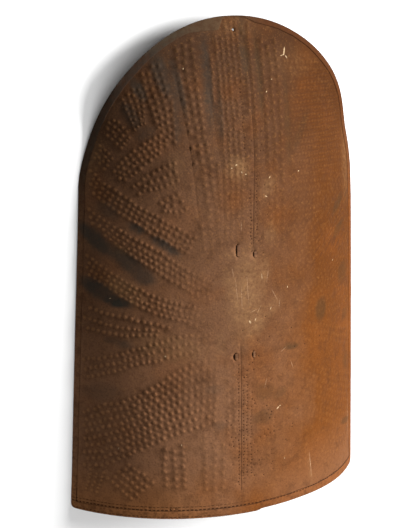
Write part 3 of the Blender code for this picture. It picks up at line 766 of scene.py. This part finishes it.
def linear(hexColour):
    # An sRGB hex colour as the linear numbers that the shader takes
    value = np.array([int(hexColour[i:i + 2], 16) for i in (1, 3, 5)]) / 255
    value = np.where(value <= 0.04045, value / 12.92, ((value + 0.055) / 1.055) ** 2.4)
    return (*value.tolist(), 1.0)


def node(tree, kind, inputs=None, output=0, stops=(), **settings):
    # Adds one node, with its settings, a ramp's stops, and its sockets by name or number, from values or from
    # other nodes' outputs. Gives back one of its outputs.
    made = tree.nodes.new("ShaderNode" + kind)
    for name, value in settings.items():
        setattr(made, name, value)
    for _ in stops[2:]:
        made.color_ramp.elements.new(0.5)
    for (position, colour), element in zip(stops, made.color_ramp.elements if stops else ()):
        element.position = position
        element.color = linear(colour) if isinstance(colour, str) else (colour, colour, colour, 1)
    for name, value in (inputs or {}).items():
        if isinstance(value, bpy.types.NodeSocket):
            tree.links.new(value, made.inputs[name])
        else:
            made.inputs[name].default_value = value
    return made.outputs[output] if len(made.outputs) else None


def newMaterial(name):
    material = bpy.data.materials.new(name)
    material.use_nodes = True
    material.node_tree.nodes.clear()
    return material, material.node_tree


def paint(tree, base, coats):
    # Lays coats of colour over a base. A coat is its factors and then its colour: the factors multiply to its
    # share, and one with several numbers is first mapped: value, from, to, and what these two become.
    for *factors, colour in coats:
        share = None
        for factor in factors:
            if isinstance(factor, tuple):
                factor = node(tree, "MapRange", dict(enumerate(factor)))
            if share is None:
                share = factor
            else:
                share = node(tree, "Math", {0: share, 1: factor}, operation="MULTIPLY")
        colour = linear(ironLook[colour]) if isinstance(colour, str) else colour
        base = node(tree, "Mix", {0: share, 6: base, 7: colour}, 2, data_type="RGBA")
    return base


ironLook = {
    "brown": "#8e6448",
    "orange": "#7b471f",
    "brightOrange": "#7d461e",
    "greyed": "#514033",
    "footOrange": "#a06433",
    "flapGrey": "#4b4334",
    "paleWear": "#a26f3e",
    "darkRust": "#3d2517",
    "soot": "#252d2b",
    "sootRight": "#2d281b",
    "pit": "#26170f",
    "worn": "#94704b",
    "scratch": "#b39070",
    "flash": "#c9ac86",
    "shadow": "#000000",
    "rough": 0.66,
}
# How bright the skin is on its way up the sheet, and across it: partly the iron's own tone, and partly
# painted shade that darkens the top and the right flank
upToneAndShade = ((0.0, 1.0), (0.036, 0.98), (0.10, 0.855), (0.20, 0.83), (0.27, 0.83), (0.40, 0.645), (0.455, 0.640),
          (0.56, 0.568), (0.64, 0.592), (0.74, 0.472), (0.82, 0.491), (0.91, 0.39), (1.0, 0.381))
acrossToneAndShade = ((0.0, 0.95), (0.10, 0.97), (0.18, 1.0), (0.27, 1.0), (0.35, 0.92), (0.43, 0.835), (0.50, 0.765),
              (0.58, 0.730), (0.66, 0.682), (0.74, 0.645), (0.82, 0.605), (1.0, 0.605))
# Blotches, mottle, flecks and grain: their size in metres, detail and roughness. The grain is drawn coarser
# than real rust, or it would not show.
rustGrain = ((0.110, 3.0, 0.55), (0.030, 4.0, 0.6), (0.009, 3.0, 0.6), (0.0035, 3.0, 0.6))
spotShare = 0.62             # the nicks and scratches below are drawn at this share of their size
# Where the stains lie on the flat sheet: s, w, half length and half breadth in millimetres, turn in degrees,
# and strength
sootStains = [
    (-330, 635, 50, 17, -38, 0.85), (-255, 586, 62, 18, -35, 0.75), (-226, 560, 30, 18, -30, 0.72),
    (-325, 522, 50, 19, -25, 0.85), (-287, 500, 34, 12, -12, 1.15), (-236, 662, 20, 9, -30, 0.8),
    (-186, 632, 26, 10, -30, 0.8), (-163, 615, 24, 9, -32, 0.85), (-285, 408, 34, 9, -12, 0.55),
    (-165, 985, 50, 18, -72, 0.5), (-235, 900, 30, 14, -60, 0.4), (-300, 700, 30, 14, -30, 0.35),
    (-215, 955, 26, 12, -60, 0.5), (-205, 862, 24, 11, 30, 0.35), (-130, 960, 60, 8, -80, 0.45),
    (215, 440, 20, 26, 0, 0.5), (116, 374, 24, 8, -8, 0.6), (285, 672, 30, 12, 35, 0.4),
    (290, 615, 30, 10, 30, 0.4), (315, 505, 26, 24, 20, 0.35), (45, 280, 26, 20, 0, 0.35),
    (40, 222, 24, 16, 0, 0.4), (85, 270, 20, 12, 20, 0.3), (335, 400, 20, 14, 30, 0.35),
    (350, 130, 30, 8, -8, 0.5), (345, 285, 16, 24, 0, 0.3), (-62, 215, 16, 10, 0, 0.25),
    (-75, 300, 18, 10, 0, 0.25), (20, 1030, 60, 10, 90, 0.45), (-330, 290, 50, 20, 10, 0.3),
    (-68, 965, 90, 10, 90, 0.55), (50, 980, 90, 7, 90, 0.35), (112, 880, 100, 7, 90, 0.3),
    (-45, 900, 60, 5, 90, 0.3), (-140, 900, 60, 6, 88, 0.35), (150, 850, 50, 10, 60, 0.2),
]
paleWear = [
    (0, 505, 85, 36, 88, 0.8), (22, 440, 34, 20, 60, 0.7), (35, 545, 40, 16, 75, 0.6),
    (-35, 530, 40, 14, 100, 0.5), (60, 470, 30, 14, 40, 0.4), (-15, 785, 22, 22, 0, 0.7),
    (-35, 600, 16, 10, 0, 0.4), (55, 740, 22, 12, 60, 0.45), (60, 640, 14, 24, 0, 0.3),
    (-150, 790, 30, 14, 80, 0.25), (180, 60, 40, 4, 100, 0.5), (-60, 400, 30, 10, 80, 0.25),
    (-175, 400, 70, 28, -12, 0.5), (125, 1000, 55, 30, 0, 0.16), (335, 770, 80, 22, 90, 0.3),
    (-5, 1078, 60, 18, 0, 0.22), (-268, 525, 40, 22, -30, 0.7), (-335, 800, 50, 20, 60, 0.35),
    (-270, 610, 22, 12, -35, 0.4),
]
# Broad darker ground, in the same order, and where the ripples and the streaks lie
shades = [
    (-245, 945, 190, 75, 52, 0.42), (-135, 1020, 80, 50, 20, 0.34), (-300, 800, 70, 60, 0, 0.25),
    (-345, 545, 150, 32, 90, 0.24), (-245, 750, 80, 55, 30, 0.24), (-205, 40, 50, 35, 0, 0.18),
    (-135, 300, 55, 35, 20, 0.2), (-130, 930, 80, 22, 85, 0.22),
]
levelStreaks = [
    (220, 880, 100, 130, 0, 1), (130, 980, 70, 40, 0, 0.7),
]
slantStreaks = [
    (285, 640, 150, 60, 50, 1), (310, 440, 100, 50, 40, 0.6), (140, 690, 60, 50, 0, 0.5),
]
# Bright nicks, where the bare metal or a fleck of lime shows: s, w, half length, half breadth, turn
nicks = [
    (117, 1022, 12, 2.2, 78), (112, 1014, 8, 1.8, 20), (121, 1010, 6, 2, 120), (-300, 506, 3.5, 1.4, 10),
    (-180, 380, 3.2, 2.2, 40), (-290, 162, 4, 1.8, 60), (80, 236, 6, 2.2, 40), (86, 240, 3, 1.6, 0),
    (9, 446, 5.5, 3, 120), (22, 450, 6, 1.4, 70), (105, 512, 3.5, 1.2, 80), (-18, 792, 3.5, 2.2, 30),
    (-6, 776, 3.8, 2.2, 100), (-28, 786, 2.8, 1.8, 0), (3, 771, 2.6, 1.8, 0), (60, 760, 4, 1.4, 60),
    (50, 720, 5, 1.4, 150), (64, 940, 3, 1.6, 70), (78, 965, 2.6, 1.4, 0), (-118, 995, 3.2, 1.4, 80),
    (140, 765, 2.6, 1.8, 0), (38, 545, 9, 1, 95), (60, 470, 6, 1, 60), (-148, 175, 3, 1.4, 90),
    (98, 112, 3, 1.4, 90), (262, 545, 4, 1, 60), (20, 600, 3, 1.2, 90),
]
# Dark lines along the foot: how far up, half breadth, strength, and how far right each runs, in metres
footLines = [(0.0202, 0.0017, 0.95, 0.5), (0.0275, 0.0013, 0.7, -0.02), (0.0045, 0.0013, 0.8, -0.05)]
# Thin pale scratches, in the same order as the nicks
scratches = [
    (181, 75, 42, 1.6, 98), (-22, 520, 34, 0.9, 96), (-10, 500, 40, 0.8, 91), (4, 520, 46, 0.8, 94),
    (52, 545, 20, 0.9, 80), (70, 500, 22, 0.9, 120), (83, 478, 14, 0.9, 85), (30, 470, 20, 0.7, 60),
    (-30, 560, 18, 0.8, 100), (18, 470, 12, 0.9, 20), (370, 130, 70, 1.2, 93), (48, 300, 16, 0.8, 75),
    (95, 370, 12, 0.8, 30), (-10, 660, 12, 1, 88), (120, 330, 14, 0.7, 110),
]


def smudges(points, places, soft):
    # How deep each point lies in any of a few long soft smudges, each an ellipse turned by its angle
    total = np.zeros(len(points))
    for s, w, length, breadth, turn, strength in places:
        angle = np.radians(turn)
        x, y = points[:, 0] - s * mm, points[:, 1] - w * mm
        along, across = x * np.cos(angle) + y * np.sin(angle), y * np.cos(angle) - x * np.sin(angle)
        away = np.hypot(along / (length * mm), across / (breadth * mm))
        fade = np.clip((1 + soft - away) / (2 * soft), 0, 1)
        total = np.maximum(total, fade * fade * (3 - 2 * fade) * strength)
    return total


def fromSpot(tree, place, spot):
    # How far out each point lies from a spot finer than the mesh: 1 is on its edge
    s, w, length, breadth = np.array(spot[:4]) * mm
    inSpot = node(tree, "Mapping", {
        "Vector": place, "Location": (s, w, 0), "Rotation": (0, 0, np.radians(spot[4])),
        "Scale": (spotShare * length, spotShare * breadth, 1)}, vector_type="TEXTURE")
    return node(tree, "VectorMath", {0: inSpot}, "Value", operation="LENGTH")


def ironMaterial():
    # Wrought iron, hammered and long rusted: a satin brown skin, rubbed paler on the bosses, sooty in places,
    # with painted shade in broad ramps, patches and hollows, and a painted highlight on the bosses near the
    # left edge
    material, tree = newMaterial("rusted_hammered_iron")
    place = node(tree, "TexCoord", output="Object")
    flatPlace = node(tree, "UVMap", uv_map="sheet")
    across = node(tree, "SeparateXYZ", {0: flatPlace}, "X")
    up = node(tree, "SeparateXYZ", {0: flatPlace}, "Y")
    blotch, mottle, fleck, grain = [
        node(tree, "TexNoise", {"Vector": place, "Scale": 1 / size, "Detail": detail, "Roughness": rough})
        for size, detail, rough in rustGrain]
    boss, fold, crease, front, soot, wear, shade, rippled, streaked, dirtAndShade = [
        node(tree, "Attribute", output="Fac", attribute_name=name)
        for name in ("boss", "fold", "crease", "front", "soot", "wear", "shade", "level", "slant", "dirtAndShade")]

    # broad tone: brown on the left, orange on the right and at the foot, greyer at the top and left edge
    swayed = across
    for shift in (node(tree, "MapRange", {0: up, 1: 0.22, 2: 0.0, 3: 0.0, 4: 0.12}),
                  node(tree, "Math", {0: blotch, 1: 0.30, 2: -0.15}, operation="MULTIPLY_ADD")):
        swayed = node(tree, "Math", {0: swayed, 1: shift}, operation="ADD")
    greyTop = node(tree, "Math", {0: node(tree, "MapRange", {0: up, 1: 0.60, 2: 1.10, 3: 0.0, 4: 0.42}),
                                  1: node(tree, "MapRange", {0: across, 1: 0.05, 2: 0.20, 3: 1.0, 4: 0.45})},
                   operation="MULTIPLY")
    greyEdge = node(tree, "MapRange", {0: across, 1: -0.24, 2: -0.34, 3: 0.0, 4: 0.16})
    greyed = node(tree, "Math", {0: greyTop, 1: greyEdge}, operation="ADD", use_clamp=True)
    base = paint(tree, linear(ironLook["brown"]), [
        ((swayed, -0.06, 0.20), "orange"),
        ((up, 0.13, 0.02), (across, -0.05, -0.18, 0.0, 0.55), "footOrange"),
        ((up, 0.16, 0.03), (across, 0.02, 0.12, 0.0, 0.50), "brown"),
        (greyed, "greyed"),
    ])
    # painted shade with the iron's own tone: darker towards the top, a little less so on the right, and from
    # the left to the right
    height = up
    for shift in (node(tree, "MapRange", {0: across, 1: 0.05, 2: 0.20, 3: 0.0, 4: -0.09}),
                  node(tree, "Math", {0: blotch, 1: 0.12, 2: -0.06}, operation="MULTIPLY_ADD")):
        height = node(tree, "Math", {0: height, 1: shift}, operation="ADD")
    for value, low, high, stops in ((height, 0.0, 1.1, upToneAndShade), (across, -0.42, 0.42, acrossToneAndShade)):
        share = node(tree, "MapRange", {0: value, 1: low, 2: high})
        toneAndShade = node(tree, "ValToRGB", {"Fac": share}, stops=stops)
        base = node(tree, "Mix", {0: 1.0, 6: base, 7: toneAndShade}, 2, data_type="RGBA", blend_type="MULTIPLY")

    # fine level ripples in the upper right, and long dark streaks slanting by the right flank
    ripple = node(tree, "TexWave", {
        "Vector": flatPlace, "Scale": 1 / 0.0235, "Distortion": 3.2, "Detail": 2.0, "Detail Scale": 1.6,
        "Detail Roughness": 0.6}, "Fac", bands_direction="Y")
    laid = node(tree, "Mapping", {"Vector": flatPlace, "Rotation": (0, 0, np.radians(47)),
                                  "Scale": (0.030, 0.0042, 1)}, vector_type="TEXTURE")
    streak = node(tree, "TexNoise", {"Vector": laid, "Scale": 1.0, "Detail": 2.0})
    sootPatches = node(tree, "MapRange", {0: mottle, 1: 0.20, 2: 0.55, 3: 0.55, 4: 1.0})
    sooty = node(tree, "Math", {0: soot, 1: sootPatches}, operation="MULTIPLY", use_clamp=True)
    sootTone = paint(tree, linear(ironLook["soot"]), [((across, -0.06, 0.04), "sootRight")])
    # rust in patches of different ages, the finer mottle and grain, then painted shade in broad patches, wear
    # with a painted highlight on the left bosses, dirt and painted shade in the hollows, and soot
    base = paint(tree, base, [
        ((blotch, 0.50, 0.72), 0.20, "brightOrange"),
        ((mottle, 0.50, 0.28), 0.42, "darkRust"),
        ((fleck, 0.56, 0.78), 0.14, "paleWear"),
        ((grain, 0.48, 0.32), 0.34, "darkRust"),
        ((grain, 0.56, 0.72), (across, 0.02, 0.15, 0.26, 0.10), "paleWear"),
        (rippled, (ripple, 0.55, 0.0), 0.34, "darkRust"),
        (streaked, (streak, 0.50, 0.34), 0.62, "darkRust"),
        (shade, (blotch, 0.3, 0.6, 0.8, 1.0), "shadow"),
        # the boss tops rubbed a little paler, and towards the left edge more: a painted highlight on them
        (boss, (across, -0.16, -0.32, 0.05, 0.20), "paleWear"),
        (dirtAndShade, 0.75, "darkRust"),
        (wear, (fleck, 0.25, 0.65), 0.55, "worn"),
        (sooty, 0.84, sootTone),
    ])
    # broken dark lines along the foot, where the fold was closed with a punch
    waver = node(tree, "Math", {0: mottle, 1: 0.004, 2: -0.002}, operation="MULTIPLY_ADD")
    wandering = node(tree, "Math", {0: up, 1: waver}, operation="ADD")
    dashes = node(tree, "TexWave", {
        "Vector": flatPlace, "Scale": 1 / 0.030, "Distortion": 2.0, "Detail": 2.0, "Detail Scale": 6.0},
        "Fac", bands_direction="X")
    coats = []
    for w, halfBreadth, strength, until in footLines:
        off = node(tree, "Math", {0: wandering, 1: w}, operation="SUBTRACT")
        off = node(tree, "Math", {0: off}, operation="ABSOLUTE")
        coats.append(((off, halfBreadth, 0.4 * halfBreadth),
                      (across, until + 0.05, until - 0.05, 0.0, strength),
                      (dashes, 0.15, 0.45, 0.15, 1.0), front, "pit"))
    # ragged scratches and nicks, and last the fold: darkest round the upper left, where painted shade darkens
    # it, and greyed at the peak
    coats += [((fromSpot(tree, flatPlace, spot), 1.5, 0.5), (grain, 0.38, 0.55, 0.15, 0.55), front, "scratch")
              for spot in scratches]
    coats += [((fromSpot(tree, flatPlace, spot), 1.35, 0.65), (grain, 0.30, 0.52), 0.75, front, "flash")
              for spot in nicks]
    base = paint(tree, base, coats + [
        (fold, (across, -0.2, 0.3, 0.0, 0.35), "brightOrange"),
        (fold, (up, 0.66, 0.80, 0.0, 0.55), "darkRust"),
        (fold, (up, 0.66, 0.80, 0.0, 0.44), (across, -0.07, -0.14), "soot"),
        (fold, (up, 1.02, 1.07, 0.0, 0.40), (across, 0.08, 0.00), "flapGrey"),
        (fold, (fleck, 0.52, 0.36, 0.0, 0.40), "darkRust"),
        # dirt and painted shade along the fold's crease and in the punch marks
        (crease, 0.9, "pit"),
    ])

    bumps = node(tree, "Math", {0: ripple, 1: rippled}, operation="MULTIPLY")
    bumps = node(tree, "Math", {0: bumps, 1: 0.9}, operation="MULTIPLY")
    for value, weight in ((grain, 0.7), (fleck, 1.4), (mottle, 3.0)):
        bumps = node(tree, "Math", {0: value, 1: weight, 2: bumps}, operation="MULTIPLY_ADD")
    bump = node(tree, "Bump", {"Height": bumps, "Distance": 0.0005, "Strength": 0.75})
    rough = ironLook["rough"]
    rough = node(tree, "MapRange", {0: fleck, 1: 0.3, 2: 0.7, 3: rough - 0.07, 4: rough + 0.12})
    # the low IOR takes away the grey sheen at grazing angles, which dull rust doesn't have
    shader = node(tree, "BsdfPrincipled", {
        "Base Color": base, "Metallic": 0.0, "IOR": 1.06, "Roughness": rough, "Normal": bump})
    node(tree, "OutputMaterial", {"Surface": shader})
    return material


for name, places, soft in (("soot", sootStains, 0.34), ("wear", paleWear, 0.7), ("shade", shades, 0.8),
                           ("level", levelStreaks, 0.4), ("slant", slantStreaks, 0.5)):
    addValues(plate, name, smudges(flat, places, soft) * isFront)
# darker ground, dirt and painted shade, in the punch marks, the chased lines, round the bosses' feet and
# behind them
addValues(plate, "dirtAndShade", np.where((marks < 0) & (marks > creaseFrom), -marks, 0.0).clip(0, 1))
plate.data.materials.append(ironMaterial())


def gripMaterial():
    # Forged iron bar, left from the fire: darker than the sheet, with scale and rust. The clenched ends on
    # the face are as brown as the sheet.
    material, tree = newMaterial("forged_iron_scale")
    place = node(tree, "TexCoord", output="Object")
    mottle = node(tree, "TexNoise", {"Vector": place, "Scale": 1 / 0.012, "Detail": 4.0})
    bar = node(tree, "ValToRGB", {"Fac": mottle},
               stops=((0.3, "#1d1612"), (0.5, "#33271e"), (0.7, "#4f3c2d")))
    ends = node(tree, "ValToRGB", {"Fac": mottle}, stops=((0.3, "#4a3122"), (0.7, "#7a5336")))
    height = node(tree, "SeparateXYZ", {0: place}, "Z")
    base = paint(tree, bar, [((height, 0.140, 0.150), ends)])
    bump = node(tree, "Bump", {"Height": mottle, "Distance": 0.0006, "Strength": 0.6})
    shader = node(tree, "BsdfPrincipled", {
        "Base Color": base, "Metallic": 0.0, "IOR": 1.2, "Roughness": 0.6, "Normal": bump})
    node(tree, "OutputMaterial", {"Surface": shader})
    return material


gripIron = gripMaterial()
for item in bpy.context.scene.objects:
    if item.name == "grip":
        for place in item.material_slots:
            place.material = gripIron
print("materials made")

# The studio: a pale floor, a broad key light from the right, and an even fill from the room
studio = {
    "floorHalf": 60.0,
    "floorWhite": 0.60,
    "keyPower": 448.0,
    "keySize": 2.1,
    "keyDistance": 4.0,
    "keyLean": 51.0,         # degrees off the vertical, towards +X
    "keyUp": 0.30,           # and a little towards the top of the shield
    "fill": 0.20,
    "washPower": 2.5,        # a second light, for the floor alone, keeps the shadows on it pale
    "washAngle": 62.0,
    "washFrom": (-0.3, -0.7, 4.1),
}
half = studio["floorHalf"]
corners = np.array([(-half, -half, 0.0), (half, -half, 0.0), (half, half, 0.0), (-half, half, 0.0)])
floor = addMesh("floor", corners, np.array([(0, 1, 2, 3)]), smooth=False)
# matt pale paper: an even ground that shows only soft shadows
floorMaterial, tree = newMaterial("floor_paper")
shader = node(tree, "BsdfPrincipled", {"Base Color": (*(studio["floorWhite"],) * 3, 1), "Roughness": 0.9,
                                       "Specular IOR Level": 0.1})
node(tree, "OutputMaterial", {"Surface": shader})
floor.data.materials.append(floorMaterial)

world = bpy.data.worlds.new("room")
world.use_nodes = True
world.node_tree.nodes["Background"].inputs["Color"].default_value = (1, 1, 1, 1)
world.node_tree.nodes["Background"].inputs["Strength"].default_value = studio["fill"]
bpy.context.scene.world = world
bpy.context.scene.view_settings.view_transform = "Standard"

lean = np.radians(studio["keyLean"])
direction = np.array([np.sin(lean), studio["keyUp"], np.cos(lean)])
direction /= np.linalg.norm(direction)
key = bpy.data.lights.new("key", "AREA")
key.shape = "DISK"
key.size = studio["keySize"]
key.energy = studio["keyPower"]
keyObject = bpy.data.objects.new("key", key)
keyObject.location = direction * studio["keyDistance"]
keyObject.rotation_euler = Vector(-direction).to_track_quat("-Z", "Y").to_euler()
bpy.context.scene.collection.objects.link(keyObject)

wash = bpy.data.lights.new("wash", "SUN")
wash.angle = np.radians(studio["washAngle"])
wash.energy = studio["washPower"]
washObject = bpy.data.objects.new("wash", wash)
washObject.rotation_euler = (-Vector(studio["washFrom"])).to_track_quat("-Z", "Y").to_euler()
bpy.context.scene.collection.objects.link(washObject)
floorOnly = bpy.data.collections.new("floor_only")
floorOnly.objects.link(floor)
washObject.light_linking.receiver_collection = floorOnly
print("studio set")

# The camera stands where the photograph was taken from, over the lying shield
view = {
    "yaw": 0.37396,
    "pitch": 0.24041,
    "roll": 0.01152,
    "distance": 2.90789,
    "aside": 0.08843,
    "above": -0.02591,
    "focalPixels": 1348.665,
    "tallPixels": 528,
    "sensor": 36.0,
}
yaw, pitch, roll = view["yaw"], view["pitch"], view["roll"]
right = np.array([np.cos(yaw), 0, np.sin(yaw)])
up = np.array([np.sin(yaw) * np.sin(pitch), np.cos(pitch), -np.cos(yaw) * np.sin(pitch)])
back = np.array([-np.sin(yaw) * np.cos(pitch), np.sin(pitch), np.cos(yaw) * np.cos(pitch)])
rolledRight = right * np.cos(roll) - up * np.sin(roll)
rolledUp = right * np.sin(roll) + up * np.cos(roll)
stand = -view["aside"] * rolledRight - view["above"] * rolledUp + view["distance"] * back
stand = settled(stand + (0, sheet["height"] / 2, 0))
axes = [turned(axis, rest["tilt"]) for axis in (rolledRight, rolledUp, back)]
cameraData = bpy.data.cameras.new("camera")
cameraData.sensor_fit = "AUTO"
cameraData.sensor_width = view["sensor"]
cameraData.lens = view["focalPixels"] / view["tallPixels"] * view["sensor"]
camera = bpy.data.objects.new("camera", cameraData)
placed = np.eye(4)
placed[:3] = np.column_stack([*axes, stand])
camera.matrix_world = Matrix(placed.tolist())
bpy.context.scene.collection.objects.link(camera)
bpy.context.scene.camera = camera
